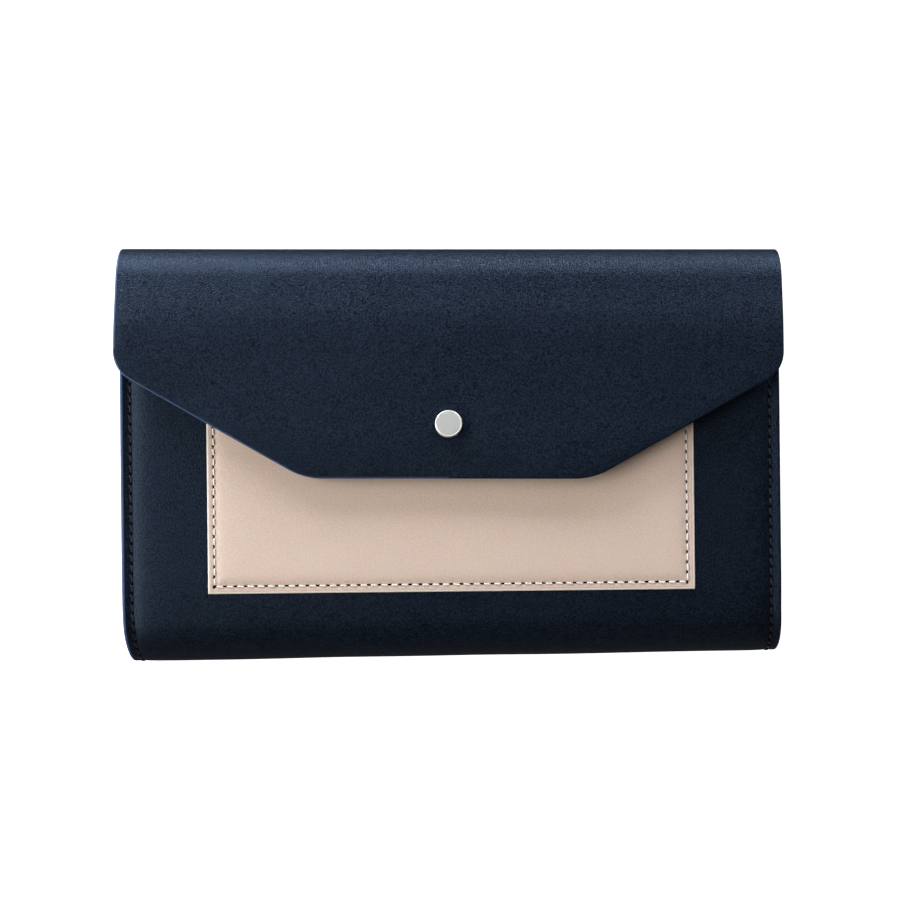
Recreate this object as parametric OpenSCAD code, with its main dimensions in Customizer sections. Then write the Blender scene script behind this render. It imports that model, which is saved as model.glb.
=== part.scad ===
// Long envelope wallet: a leather wrap with a snap flap, a patch pocket, an accordion inside with two bill
// compartments, card slots and a zipped coin pocket. It lies on its back, +Y towards the top fold.

/* [Outer shape] */
// Width of the back, the spine and the flap
wallet_w = 200; // [190:1:210]
// Width of the front panel
front_w = 198.4; // [188:0.1:199]
// Height from the bottom fold to the top fold
wallet_h = 124; // [120:1:130]
// Flap: how far its sides run down before they turn inwards, from the middle
flap_shoulder_y = 24.3; // [20:0.1:30]
// Flap: where its tip ends, from the middle
flap_tip_y = -8; // [-12:0.1:-6]
// Flap: half width of the straight tip edge, before rounding
flap_tip_x = 43; // [35:1:50]

/* [Layers] */
// Outer leather
leather_t = 1.2; // [1:0.1:1.4]
// Backing sheet between leather and lining
backing_t = 0.4; // [0.3:0.1:0.5]
// Lining of the front and the back
lining_t = 0.4; // [0.3:0.1:0.5]
// One layer of a card slot or of the bill sleeve
slot_t = 0.5; // [0.4:0.1:0.5]
// Gusset leather
gusset_t = 0.7; // [0.5:0.1:0.8]

/* [Patch pocket] */
// Width of the patch pocket
patch_w = 146; // [120:1:160]
// Its lower edge, measured along the leather from the bottom fold
patch_start = 28.2; // [26:0.1:32]
// Its upper edge, measured the same way
patch_end = 94; // [90:0.1:98]

/* [Snap] */
// Diameter of the cap
cap_d = 8; // [7:0.1:9]
// Lean of the cap and socket towards the top fold, in degrees
snap_tilt = 11; // [8:1:12]
// Height of the snap above the middle of the wallet
snap_y = 8; // [7:0.1:9]

/* [Stitching and zip] */
// Pitch of every row of stitches
stitch_pitch = 3; // [2.5:0.1:3.5]
// Pitch of the zip's teeth on one side
tooth_pitch = 2.5; // [2.4:0.1:3]
// Length of the pull tab, from its pivot
pull_l = 13; // [10:0.5:13]

/* [Hidden] */
$fn = 48;

navy = [0.10, 0.13, 0.19];
navy_lining = [0.16, 0.19, 0.26];
blush = [0.80, 0.71, 0.65];
board = [0.55, 0.52, 0.48];
thread_navy = [0.08, 0.09, 0.16];
thread_blush = [0.88, 0.80, 0.75];
nickel = [0.76, 0.76, 0.74];
tape_navy = [0.07, 0.08, 0.13];

eps = 0.01;
layers_t = leather_t + backing_t + lining_t; // thickness of every wall
flap_lining_t = backing_t + lining_t; // the flap and spine have one thicker lining and no backing
low_y = -wallet_h / 2;
high_y = wallet_h / 2;

// Outer surface in side view. A path is a list of [length, turn in degrees]; a turn of 0 is straight.
function arc(r, turn) = [r * abs(turn) * PI / 180, turn];
fold_low_r = 5; // back half of the bottom fold
fold_front_r = 14; // front half of the bottom fold
spine_low_r = 8; // back bend of the top fold
spine_high_r = 12; // front bend of the top fold
spine_flat = 1.1; // straight stretch between the two
back_flat = wallet_h - fold_low_r - spine_low_r;
split = [low_y, fold_low_r]; // where front and back meet at the bottom fold

// Back, spine and flap in one run: down from the split, along the back, over the top and down the front
shell_start = [split.x, split.y, -90];
shell_path = [arc(fold_low_r, 90), [back_flat, 0], arc(spine_low_r, 90), [spine_flat, 0],
    arc(spine_high_r, 78), [9, 0], [10, 8], [27, 0], [10, 6], [20, 0]];
// Front panel: up from the split and along the front to its free edge
front_start = [split.x, split.y, 90];
front_path = [arc(fold_front_r, -82), [14, -8], [53, 0], [14, -3], [16, 0]];

function run_length(path, n) = n == 0 ? 0 : run_length(path, n - 1) + path[n - 1][0];
front_len = run_length(front_path, len(front_path));
hinge_low_s = run_length(shell_path, 2) + shell_path[2][0] / 2; // middle of the back bend
hinge_high_s = run_length(shell_path, 4) + shell_path[4][0] / 2; // middle of the front bend
shell_len = run_length(shell_path, len(shell_path));

function walk(p, length, turn) =
    turn == 0 ? [p[0] + length * cos(p[2]), p[1] + length * sin(p[2]), p[2]]
    : let (r = length / (turn * PI / 180), h = p[2])
      [p[0] + r * (sin(h + turn) - sin(h)), p[1] - r * (cos(h + turn) - cos(h)), h + turn];
// [y, z, heading] at distance s along a path
function point_at(path, p, s, i = 0) =
    i == len(path) - 1 || s <= path[i][0] ? walk(p, s, path[i][1] * s / path[i][0])
    : point_at(path, walk(p, path[i][0], path[i][1]), s - path[i][0], i + 1);
// Distances at which a path is sampled: ends of straights, and every few degrees of a bend
bend_step = 5;
function cuts(path) = [for (i = [0:len(path) - 1])
    let (n = path[i][1] == 0 ? 1 : ceil(abs(path[i][1]) / bend_step))
    for (k = [0:n - 1]) run_length(path, i) + path[i][0] * k / n];
function stations(path, s0, s1) =
    concat([s0], [for (s = cuts(path)) if (s > s0 + eps && s < s1 - eps) s], [s1]);
// A point moved sideways from the path; positive is to the left of the way it runs
function beside(p, d) = [p[0] - d * sin(p[2]), p[1] + d * cos(p[2])];
function edge(path, p, s0, s1, d) = [for (s = stations(path, s0, s1)) beside(point_at(path, p, s), d)];
function reversed(list) = [for (i = [len(list) - 1:-1:0]) list[i]];

// Side-view outline pushed out to a width, centred on x
module across(width, x = 0)
    translate([x - width / 2, 0, 0]) rotate([90, 0, 90]) linear_extrude(width) children();
// One layer of the back, spine or flap, from depth d0 to d1 under the outer surface
module shell_layer(s0, s1, d0, d1, width, x = 0)
    across(width, x) polygon(concat(edge(shell_path, shell_start, s0, s1, d0),
        reversed(edge(shell_path, shell_start, s0, s1, d1))));
// One layer of the front panel; a negative depth stands proud of it
module front_layer(s0, s1, d0, d1, width, x = 0)
    across(width, x) polygon(concat(edge(front_path, front_start, s0, s1, -d0),
        reversed(edge(front_path, front_start, s0, s1, -d1))));

// Corners [x, y, r] turned into a smooth outline
function unit(v) = v / norm(v);
function fillet(a, p, b, r, n = 8) =
    r == 0 ? [p]
    : let (u = unit(a - p), v = unit(b - p), half = acos(u * v) / 2, c = p + unit(u + v) * r / sin(half),
           from = p + u * r / tan(half) - c,
           to = p + v * r / tan(half) - c,
           a0 = atan2(from.y, from.x),
           sweep = (atan2(to.y, to.x) - a0 + 540) % 360 - 180)
      [for (k = [0:n]) c + r * [cos(a0 + sweep * k / n), sin(a0 + sweep * k / n)]];
function xy(c) = [c[0], c[1]];
function rounded(corners) = let (n = len(corners)) [for (i = [0:n - 1])
    each fillet(xy(corners[(i + n - 1) % n]), xy(corners[i]), xy(corners[(i + 1) % n]), corners[i][2])];

// Stitches
stitch = [2.2, 0.55, 0.35]; // length, width, height of one stitch
groove_w = 0.9;
groove_d = 0.4;
seam_inset = 3.1; // side seams, from the panel's edge
function spaced(first, last) = [for (s = [first:stitch_pitch:last]) s];
module one_stitch() translate([-stitch.x / 2, -stitch.y / 2, 0]) cube(stitch);
module front_stitch(s, x, depth) {
    p = point_at(front_path, front_start, s);
    q = beside(p, -depth);
    translate([x, q.x, q.y]) rotate([p[2], 0, 0]) rotate([0, 0, 90]) one_stitch();
}

// ---- Back -----------------------------------------------------------------------------------------------
seam_x = wallet_w / 2 - seam_inset;
back_seam_from = -50;
back_seam_to = 46;
module back_panel() color(navy) difference() {
    shell_layer(0, hinge_low_s, 0, leather_t, wallet_w);
    for (side = [-1, 1])
        translate([side * seam_x - groove_w / 2, back_seam_from - 2, -eps])
            cube([groove_w, back_seam_to - back_seam_from + 4, groove_d + eps]);
}
module back_backing() color(board)
    shell_layer(0, hinge_low_s, leather_t, leather_t + backing_t, wallet_w);
module back_lining() color(navy_lining)
    shell_layer(0, hinge_low_s, leather_t + backing_t, layers_t, wallet_w);
module back_seam_stitches() color(thread_navy)
    for (side = [-1, 1], y = spaced(back_seam_from, back_seam_to))
        translate([side * seam_x, y, groove_d - stitch.z]) rotate([0, 0, 90]) one_stitch();

// Card slots: each strip lies on the one before and its mouth is lower
slot_w = 183;
slot_foot_y = -46;
slot_mouth_y = 40; // mouth of the deepest slot
slot_step = 12;
mouth_dip = 1.2; // the mouth is cut lower in the middle of each column
module card_slot(k) color(blush) translate([0, 0, layers_t + (k - 1) * slot_t]) linear_extrude(slot_t) {
    mouth = slot_mouth_y - (k - 1) * slot_step;
    polygon(concat([[-slot_w / 2, slot_foot_y], [slot_w / 2, slot_foot_y]],
        [for (i = [32:-1:-32]) [i / 32 * slot_w / 2, mouth - mouth_dip * pow(sin(abs(i) / 32 * 180), 2)]]));
}
module card_slot_stitches() color(thread_blush)
    for (y = spaced(slot_foot_y + 2, slot_mouth_y - 3 * slot_step - 3))
        translate([0, y, layers_t + 4 * slot_t]) rotate([0, 0, 90]) one_stitch();

// ---- Spine and flap -------------------------------------------------------------------------------------
module spine_panel() color(navy) shell_layer(hinge_low_s, hinge_high_s, 0, leather_t, wallet_w);
module spine_lining() color(navy_lining)
    shell_layer(hinge_low_s, hinge_high_s, leather_t, leather_t + flap_lining_t, wallet_w);

shoulder_r = 10;
tip_r = 21;
module flap_outline() linear_extrude(60) polygon(rounded([
    [-wallet_w / 2, high_y + 1, 0],
    [-wallet_w / 2, flap_shoulder_y, shoulder_r],
    [-flap_tip_x, flap_tip_y, tip_r],
    [flap_tip_x, flap_tip_y, tip_r],
    [wallet_w / 2, flap_shoulder_y, shoulder_r],
    [wallet_w / 2, high_y + 1, 0]]));

// Snap, along its own leaning axis; its origin is on the flap's outer surface
post_r = 1.2;
post_hole_r = 1.5;
flap_run_start = point_at(shell_path, shell_start, run_length(shell_path, 7));
snap_z = flap_run_start[1] + (flap_run_start[0] - snap_y) * tan(180 - flap_run_start[2]);
module on_snap_axis() translate([0, snap_y, snap_z]) rotate([-snap_tilt, 0, 0]) children();
module flap_layer(d0, d1) difference() {
    intersection() {
        shell_layer(hinge_high_s, shell_len + 5, d0, d1, wallet_w);
        flap_outline();
    }
    on_snap_axis() translate([0, 0, -5]) cylinder(r = post_hole_r, h = 10);
}
module flap_panel() color(navy) flap_layer(0, leather_t);
module flap_lining() color(navy_lining) flap_layer(leather_t, leather_t + flap_lining_t);

cap_low = 0.6; // underside of the cap above the leather
cap_t = 1.8;
cap_bevel = 0.4;
flange_t = 0.3;
socket_r = 2.85;
socket_low = -3.6; // lower face of the socket
cavity_r = 2.4;
flange_top = -2.45; // the socket's flange lies under the flap's lining
module snap_cap() color(nickel) on_snap_axis() union() {
    rotate_extrude() polygon([[0, cap_low], [cap_d / 2 - 0.15, cap_low], [cap_d / 2, cap_low + 0.15],
        [cap_d / 2, cap_low + cap_t - cap_bevel],
        [cap_d / 2 - cap_bevel * 0.3, cap_low + cap_t - cap_bevel * 0.3],
        [cap_d / 2 - cap_bevel, cap_low + cap_t], [0, cap_low + cap_t]]);
    translate([0, 0, flange_top]) cylinder(r = post_r, h = cap_low - flange_top + eps);
}
module snap_socket() color(nickel) on_snap_axis() difference() {
    union() {
        translate([0, 0, flange_top - flange_t]) cylinder(r = socket_r + 0.5, h = flange_t);
        translate([0, 0, socket_low]) cylinder(r = socket_r, h = flange_top - flange_t - socket_low);
    }
    translate([0, 0, socket_low - eps]) cylinder(r = cavity_r, h = flange_top - flange_t - socket_low + eps);
}
spring_r = 2.2;
wire_r = 0.18;
module snap_spring() color(nickel) on_snap_axis() translate([0, 0, socket_low + 0.4])
    rotate_extrude() translate([spring_r, 0]) circle(r = wire_r, $fn = 16);

// ---- Front ----------------------------------------------------------------------------------------------
front_seam_x = front_w / 2 - seam_inset;
front_seam_from = 3;
module front_panel() color(navy) difference() {
    front_layer(0, front_len, 0, leather_t, front_w);
    for (side = [-1, 1])
        front_layer(front_seam_from - 2, front_len + 1, -1, groove_d, groove_w, side * front_seam_x);
}
module front_backing() color(board) front_layer(0, front_len, leather_t, leather_t + backing_t, front_w);
module front_lining() color(navy_lining) front_layer(0, front_len, leather_t + backing_t, layers_t, front_w);
module front_seam_stitches() color(thread_navy)
    for (side = [-1, 1], s = spaced(front_seam_from, front_len - 2))
        front_stitch(s, side * front_seam_x, groove_d - eps);

// Full-width sleeve on the front's inner side
sleeve_w = 183;
sleeve_from = run_length(front_path, 2);
sleeve_to = run_length(front_path, 4);
module bill_sleeve() color(blush)
    front_layer(sleeve_from, sleeve_to, layers_t, layers_t + slot_t, sleeve_w);

// Patch pocket: its margins lie on the panel, its middle stands off by the pocket's gap
patch_t = 1.4;
patch_gap = 0.5;
patch_margin = 3.5;
patch_seam = 2.1;
patch_groove_d = 0.25;
patch_seam_x = patch_w / 2 - patch_seam;
patch_seam_s = patch_start + patch_seam;
stud_y = snap_y + (socket_low + flange_top) / 2 * sin(snap_tilt); // under the middle of the leaning socket
front_level_s = run_length(front_path, 2); // from here the front lies level
stud_s = front_level_s + stud_y - point_at(front_path, front_start, front_level_s)[0];
front_top_z = point_at(front_path, front_start, stud_s)[1];
stud_hole_r = 0.95;
patch_groove_z = patch_groove_d - patch_t; // bottom of the seam's groove
module patch_pocket() color(blush) difference() {
    front_layer(patch_start, patch_end, -patch_t, 0, patch_w);
    front_layer(patch_start + patch_margin, patch_end + 1, -patch_gap, 1, patch_w - 2 * patch_margin);
    for (side = [-1, 1])
        front_layer(patch_seam_s, patch_end + 1, -patch_t - 1, patch_groove_z, groove_w, side * patch_seam_x);
    front_layer(patch_seam_s - groove_w / 2, patch_seam_s + groove_w / 2, -patch_t - 1, patch_groove_z,
        2 * patch_seam_x + groove_w);
    translate([0, stud_y, front_top_z]) cylinder(r = stud_hole_r, h = 4);
}
module patch_stitches() color(thread_blush) {
    rows = floor((patch_end - patch_seam_s - 2) / stitch_pitch);
    for (side = [-1, 1], k = [1:rows])
        front_stitch(patch_seam_s + (k - 0.5) * stitch_pitch, side * patch_seam_x, patch_groove_z - eps);
    columns = floor((patch_seam_x - stitch.x / 2) / stitch_pitch);
    p = point_at(front_path, front_start, patch_seam_s);
    q = beside(p, eps - patch_groove_z);
    for (k = [-columns:columns])
        translate([k * stitch_pitch, q.x, q.y]) rotate([p[2], 0, 0]) one_stitch();
}

// Stud: its flange on the patch, its rivet in the pocket's gap
stud_low = front_top_z + patch_t;
stud_flange_r = 2.6;
module snap_stud() color(nickel) translate([0, stud_y, stud_low]) difference() {
    rotate_extrude() polygon([[0, 0], [stud_flange_r, 0], [stud_flange_r, flange_t], [1.2, flange_t],
        [1.2, 0.75], [1.5, 0.95], [1.6, 1.2], [1.45, 1.4], [1.2, 1.5], [0, 1.5]]);
    translate([0, 0, -eps]) cylinder(r = stud_hole_r, h = 1.2);
}
rivet_r = 0.85;
module snap_rivet() color(nickel) translate([0, stud_y, front_top_z + 0.1]) union() {
    cylinder(r = 3, h = flange_t);
    cylinder(r = rivet_r, h = patch_t - 0.1 + 1);
}

// ---- Coin pocket ----------------------------------------------------------------------------------------
pocket_w = 196;
pocket_from = -54;
pocket_to = 40;
pocket_low = layers_t + 4 * slot_t + 4.6; // leaves the back bill compartment
pocket_t = 3.8;
pocket_wall = 0.7;
pocket_mid = pocket_low + pocket_t / 2;
pocket_high = pocket_low + pocket_t;
module wall(z) translate([-pocket_w / 2, pocket_from, z])
    cube([pocket_w, pocket_to - pocket_from, pocket_wall]);
module coin_pocket_back() color(blush) wall(pocket_low);
module coin_pocket_front() color(blush) wall(pocket_high - pocket_wall);
bag_t = 0.3;
bag_w = 192;
bag_to = 31;
module coin_pocket_lining() color(navy_lining) {
    inner_t = pocket_t - 2 * pocket_wall;
    translate([-bag_w / 2, pocket_from + 1, pocket_low + pocket_wall]) difference() {
        cube([bag_w, bag_to - pocket_from - 1, inner_t]);
        translate([bag_t, bag_t, bag_t]) cube([bag_w - 2 * bag_t, bag_to - pocket_from, inner_t - 2 * bag_t]);
    }
}
// Zip along the mouth, facing the top fold
tape_t = 0.35;
tape_w = 164;
tape_foot = 8.5;
tape_top = pocket_to + 1;
tape_gap = 1.2; // between the two tapes
tape_turn = pocket_t / 2 - pocket_wall - tape_gap / 2; // height of its turned edge
teeth_reach = 74;
tooth = [1.05, 1.5, 1.9]; // along the zip, out of the pocket, across
module tape_profile() polygon([[pocket_to - tape_foot, 0], [tape_top, 0],
    [tape_top, tape_turn], [tape_top - tape_t, tape_turn],
    [tape_top - tape_t, tape_t], [pocket_to - tape_foot, tape_t]]);
module tape() translate([0, 0, -pocket_mid + pocket_low + pocket_wall]) across(tape_w) tape_profile();
module zip_tape_back() color(tape_navy) translate([0, 0, pocket_mid]) tape();
module zip_tape_front() color(tape_navy) translate([0, 0, pocket_mid]) mirror([0, 0, 1]) tape();
module teeth_row(phase) for (x = [-teeth_reach + phase:tooth_pitch:teeth_reach])
    translate([x - tooth.x / 2, tape_top, -1.4]) cube(tooth);
module zip_teeth_back() color(nickel) translate([0, 0, pocket_mid]) teeth_row(0);
module zip_teeth_front() color(nickel) translate([0, 0, pocket_mid]) mirror([0, 0, 1])
    teeth_row(tooth_pitch / 2);
module zip_stops() color(nickel) for (side = [-1, 1])
    translate([side * (teeth_reach + 2.5) - 1, tape_top, pocket_mid - 1.4]) cube([2, tooth.y, 2.8]);
module coin_pocket_stitches() color(thread_blush)
    for (x = spaced(-78, 78)) {
        translate([x, pocket_to - 3, pocket_high]) one_stitch();
        translate([x, pocket_to - 3, pocket_low - stitch.z]) one_stitch();
    }
// Slider: top plate with side flanges and a bridge, and a lower plate inside the mouth
slider_x = 66;
slider_l = 9;
slider_low = tape_top + tooth.y + 0.3;
slider_half_w = 3;
plate_t = 0.9;
shoe_half = pocket_t / 2 - pocket_wall - tape_t - 0.3; // lower plate, between the tapes
pivot_y = slider_low + plate_t + 1.1;
bridge_half = 2.9;
bridge_t = 0.7;
bridge_w = 1.2;
bridge_h = 2.5;
bar_r = 0.45;
module zip_slider() color(nickel) translate([slider_x, 0, pocket_mid]) {
    translate([-slider_l / 2, slider_low, -slider_half_w]) cube([slider_l, plate_t, 2 * slider_half_w]);
    for (side = [-1, 1]) translate([-slider_l / 2, tape_top + 0.3, side > 0 ? 2.0 : -slider_half_w])
        cube([slider_l, slider_low - tape_top - 0.3 + eps, slider_half_w - 2.0]);
    translate([-bridge_half, slider_low + plate_t - eps, -bridge_w / 2]) difference() {
        cube([2 * bridge_half, bridge_h, bridge_w]);
        translate([bridge_t, -eps, -1])
            cube([2 * (bridge_half - bridge_t), bridge_h - bridge_t + eps, bridge_w + 2]);
    }
    translate([-slider_l / 2, tape_top - tape_t - 0.3 - plate_t, -shoe_half])
        cube([slider_l, plate_t, 2 * shoe_half]);
}
pull_t = 0.8;
pull_half_w = 1.9;
window_half = 0.95;
window_l = 4;
module zip_pull() color(nickel) translate([slider_x, pivot_y, pocket_mid]) union() {
    translate([0, 0, -pull_half_w]) cylinder(r = bar_r, h = 2 * pull_half_w);
    difference() {
        translate([-pull_l, -pull_t / 2, -pull_half_w]) cube([pull_l, pull_t, 2 * pull_half_w]);
        translate([-window_l, -1, -window_half]) cube([window_l + 1, 2, 2 * window_half]);
    }
}

// ---- Gussets --------------------------------------------------------------------------------------------
gusset_edge = 98; // outer edge of the sewn margins
gusset_seam = 94; // where the leaves leave the panels
gusset_apex = 82; // the fold between the leaves, inside the wallet
clear = 0.3; // to the panel that moves away
// Between heights za and zb; each leaf first climbs past what lies beside its margin
function gusset_section(za, past_a, zb, past_b) = let (zm = (za + zb) / 2, g = gusset_t,
    in = gusset_seam - 1) [
    [gusset_edge, zb], [gusset_seam, zb], [in, zb - past_b],
    [gusset_apex, zm],
    [in, za + past_a], [gusset_seam, za], [gusset_edge, za],
    [gusset_edge, za + g], [gusset_seam + g, za + g], [in + g, za + past_a + g * 0.8],
    [gusset_apex + 3 * g, zm],
    [in + g, zb - past_b - g * 0.8], [gusset_seam + g, zb - g], [gusset_edge, zb - g]];
// Skin through sections that all have the same number of points
module skin(sections) {
    n = len(sections[0]);
    m = len(sections);
    polyhedron([for (s = sections) each s], concat(
        [[for (i = [0:n - 1]) i]], [[for (i = [n - 1:-1:0]) (m - 1) * n + i]],
        [for (j = [0:m - 2], i = [0:n - 1])
            [j * n + i, (j + 1) * n + i, (j + 1) * n + (i + 1) % n, j * n + (i + 1) % n]]));
}
module back_gusset() translate([0, pocket_to, 0]) rotate([90, 0, 0]) linear_extrude(pocket_to - pocket_from)
    polygon(gusset_section(layers_t, 4 * slot_t + 0.2, pocket_low - clear, 0.2));
front_gusset_from = 16;
front_gusset_to = front_len - 8;
module front_gusset() skin([for (s = stations(front_path, front_gusset_from, front_gusset_to))
    let (q = beside(point_at(front_path, front_start, s), -layers_t - clear))
    [for (c = gusset_section(pocket_high, 0.2, q.y, slot_t + 0.2)) [c.x, q.x, c.y]]]);
module back_gusset_right() color(navy) back_gusset();
module back_gusset_left() color(navy) mirror([1, 0, 0]) back_gusset();
module front_gusset_right() color(navy) front_gusset();
module front_gusset_left() color(navy) mirror([1, 0, 0]) front_gusset();

back_panel();
back_backing();
back_lining();
card_slot(1);  // card_slot_1
card_slot(2);  // card_slot_2
card_slot(3);  // card_slot_3
card_slot(4);  // card_slot_4
card_slot_stitches();
back_gusset_left();
back_gusset_right();
back_seam_stitches();
spine_panel();
spine_lining();
flap_panel();
flap_lining();
snap_cap();
snap_socket();
snap_spring();
front_panel();
front_backing();
front_lining();
bill_sleeve();
patch_pocket();
patch_stitches();
front_seam_stitches();
snap_stud();
snap_rivet();
coin_pocket_back();
coin_pocket_front();
coin_pocket_lining();
coin_pocket_stitches();
zip_tape_back();
zip_tape_front();
zip_teeth_back();
zip_teeth_front();
zip_stops();
front_gusset_left();
front_gusset_right();
zip_slider();
zip_pull();
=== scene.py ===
import math
from collections import namedtuple
import bpy
from mathutils import Matrix, Vector, noise


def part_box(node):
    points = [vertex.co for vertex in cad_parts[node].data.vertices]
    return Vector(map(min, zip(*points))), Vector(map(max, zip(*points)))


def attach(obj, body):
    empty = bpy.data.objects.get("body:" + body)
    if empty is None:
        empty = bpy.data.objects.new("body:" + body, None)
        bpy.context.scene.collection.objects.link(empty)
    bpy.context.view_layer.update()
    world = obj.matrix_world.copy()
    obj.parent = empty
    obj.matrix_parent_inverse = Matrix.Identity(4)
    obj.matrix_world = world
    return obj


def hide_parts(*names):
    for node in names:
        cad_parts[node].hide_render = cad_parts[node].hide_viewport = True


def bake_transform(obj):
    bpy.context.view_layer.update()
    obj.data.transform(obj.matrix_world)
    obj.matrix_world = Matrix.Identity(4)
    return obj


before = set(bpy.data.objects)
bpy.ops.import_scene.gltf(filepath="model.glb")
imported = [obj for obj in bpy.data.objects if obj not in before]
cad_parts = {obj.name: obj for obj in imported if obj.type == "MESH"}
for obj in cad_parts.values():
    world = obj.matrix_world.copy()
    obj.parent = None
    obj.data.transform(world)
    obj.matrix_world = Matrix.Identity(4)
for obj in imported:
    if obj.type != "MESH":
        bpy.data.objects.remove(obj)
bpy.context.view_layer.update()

MM = 0.001


# ---- Sizes from the CAD ----
def low(node, axis):
    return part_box(node)[0][axis] / MM


def high(node, axis):
    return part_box(node)[1][axis] / MM


X, Y, Z = 0, 1, 2
LOW_Y = low("back_panel", Y)
HIGH_Y = high("spine_panel", Y)
WALLET_HALF = high("back_panel", X)
FRONT_HALF = high("front_panel", X)
PATCH_HALF = high("patch_pocket", X)
FLAP_TIP_Y = low("flap_panel", Y)
SLOT_HALF = high("card_slot_1", X)

LEATHER = 1.2
BACKING = 0.4
LINING = 0.4
WALL = LEATHER + BACKING + LINING
SLOT = 0.5
PATCH = 1.4
STITCH_PITCH = 3.0
SEAM_INSET = 3.1
PATCH_INSET = 2.1


# ---- Side-view lines the leather is laid along ----
def bend(radius, turn):
    return radius * abs(math.radians(turn)), turn


class Run:
    """A side-view line of straights and bends, each (length, turn); side is +1 where out is to its left."""

    def __init__(self, y, z, heading, steps, side):
        self.side = side
        self.steps = steps
        self.knots = []
        start = 0.0
        heading = math.radians(heading)
        for length, turn in steps:
            self.knots.append((start, y, z, heading))
            y, z, heading = self.walk(y, z, heading, length, math.radians(turn))
            start += length
        self.length = start

    @staticmethod
    def walk(y, z, heading, length, turn):
        if turn == 0:
            return y + length * math.cos(heading), z + length * math.sin(heading), heading
        radius = length / turn
        y += radius * (math.sin(heading + turn) - math.sin(heading))
        z -= radius * (math.cos(heading + turn) - math.cos(heading))
        return y, z, heading + turn

    def at(self, s):
        index = max(i for i, knot in enumerate(self.knots) if knot[0] <= s or i == 0)
        start, y, z, heading = self.knots[index]
        length, turn = self.steps[index]
        return self.walk(y, z, heading, s - start, math.radians(turn) * (s - start) / length)

    def axes(self, s):
        """The directions along the run and out of the leather."""
        heading = self.at(s)[2]
        along = Vector((0, math.cos(heading), math.sin(heading)))
        out = Vector((0, -math.sin(heading), math.cos(heading))) * self.side
        return along, out

    def place(self, s, x, lift):
        y, z, heading = self.at(s)
        y -= self.side * lift * math.sin(heading)
        z += self.side * lift * math.cos(heading)
        turn, sag, width = self.askew(s)
        return Vector((x * width - turn * (y - ASKEW_CENTRE_Y), y + turn * x - sag, z))

    def askew(self, s):
        """The leather's turn in its own plane in radians, how far it hangs low, and how wide it stays."""
        return 0.0, 0.0, 1.0


ASKEW = math.radians(0.62)  # the front is sewn on slightly turned
ASKEW_CENTRE_Y = 42.0
SLOPE = math.radians(0.38)  # its bottom fold slopes a little more,
SLOPE_REACH = 25.0
SAG = 0.62  # hangs lower
PINCH = 0.005  # and is drawn in, by a share of its width
PINCH_REACH = 18.0


class FrontRun(Run):
    def askew(self, s):
        lower = smooth((SPLIT_S + SLOPE_REACH - s) / SLOPE_REACH)
        on = smooth(s / SPLIT_S)
        pinch = PINCH * smooth((SPLIT_S + PINCH_REACH - s) / PINCH_REACH)
        return (ASKEW + SLOPE * lower) * on, SAG * lower * on, 1 - pinch * on


FOLD_LOW_R = 5.0
FOLD_FRONT_R = 14.0
SPINE_LOW_R = 8.0
SPINE_HIGH_R = 12.0
SPINE_FLAT = 1.1
BACK_MEET_Y = -50.0  # where the leather that wraps the bottom fold meets the back's
FRONT_LEAD = BACK_MEET_Y - (LOW_Y + FOLD_LOW_R)

back_run = Run(BACK_MEET_Y, 0, 0,
               [(HIGH_Y - SPINE_LOW_R - BACK_MEET_Y, 0), bend(SPINE_LOW_R, 90), (SPINE_FLAT / 2, 0)], -1)
flap_run = Run(HIGH_Y, SPINE_LOW_R + SPINE_FLAT / 2, 90,
               [(SPINE_FLAT / 2, 0), bend(SPINE_HIGH_R, 78), (9, 0), (10, 8), (27, 0), (10, 6), (20, 0)], -1)
front_run = FrontRun(BACK_MEET_Y, 0, 180,
                     [(FRONT_LEAD, 0), bend(FOLD_LOW_R, -90), bend(FOLD_FRONT_R, -82), (14, -8), (53, 0),
                      (14, -3), (16, 0)], 1)
SPLIT_S = FRONT_LEAD + bend(FOLD_LOW_R, 90)[0]  # the front's hinge line, along front_run


def flap_s(y):
    """Where along the flap's run it passes y, past the top of its fold."""
    first, last = 10.0, flap_run.length
    for _ in range(40):
        middle = (first + last) / 2
        if flap_run.at(middle)[0] >= y:
            first = middle
        else:
            last = middle
    return (first + last) / 2


# ---- Flap outline ----
SHOULDER = (WALLET_HALF, 24.3, 10.0)  # virtual corner x, y and its radius
TIP = (43.0, FLAP_TIP_Y, 21.0)


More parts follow.
